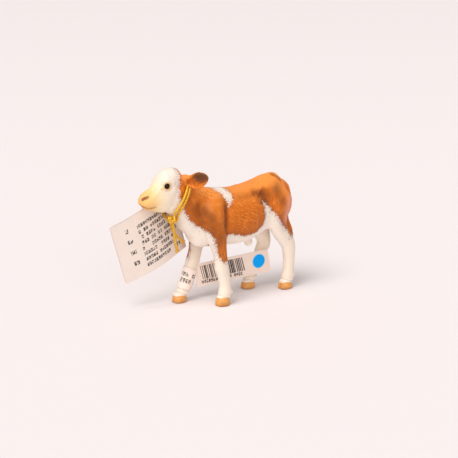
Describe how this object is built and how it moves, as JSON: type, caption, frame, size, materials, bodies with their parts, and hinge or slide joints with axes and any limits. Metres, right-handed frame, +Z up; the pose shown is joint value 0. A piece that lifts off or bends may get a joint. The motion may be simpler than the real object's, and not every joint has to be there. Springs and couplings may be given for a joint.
{
  "type": "toy farm animal figure",
  "caption": "Moulded and painted toy calf standing on its hooves, with a gold cord round its neck, a hanging folded leaflet and a paper leg label.",
  "frame": {"origin": "on the standing surface, below the middle of the outline of the calf and its label", "axes": "+X towards the head, +Y to the calf's left, +Z up"},
  "size_m": [0.0887, 0.03, 0.062],
  "materials": {
    "coat": "painted, satin",
    "face_paint": "painted, satin",
    "leg_paint": "painted, satin",
    "eye": "gloss varnish",
    "hoof": "painted, satin",
    "gold_cord": "metallic elastic cord",
    "leaflet_paper": null,
    "label_paper": null,
    "dot_paper": "coated paper"
  },
  "bodies": {
    "calf": {"torso": "coat", "neck": "coat", "head": "face_paint", "left_eye": "eye", "right_eye": "eye", "left_ear": "coat", "right_ear": "coat", "foreleg_left": "leg_paint", "hoof_fore_left": "hoof", "foreleg_right": "leg_paint", "hoof_fore_right": "hoof", "hind_leg_left": "leg_paint", "hoof_hind_left": "hoof", "hind_leg_right": "leg_paint", "hoof_hind_right": "hoof", "tail": "coat", "sheath": "leg_paint", "leg_label": "label_paper", "price_dot": "dot_paper", "cord_loop": "gold_cord", "cord_knot": "gold_cord", "cord_end_front": "gold_cord", "cord_end_rear": "gold_cord"},
    "hanging_leaflet": {"leaflet": "leaflet_paper"}
  },
  "joints": [
    {"name": "leaflet_swing", "type": "hinge", "parent": "calf", "child": "hanging_leaflet", "pos_m": [0.02082, -0.0072, 0.04563], "axis": [-0.2293, 0.9733, -0.0077], "range_deg": [-35, 75]}
  ]
}
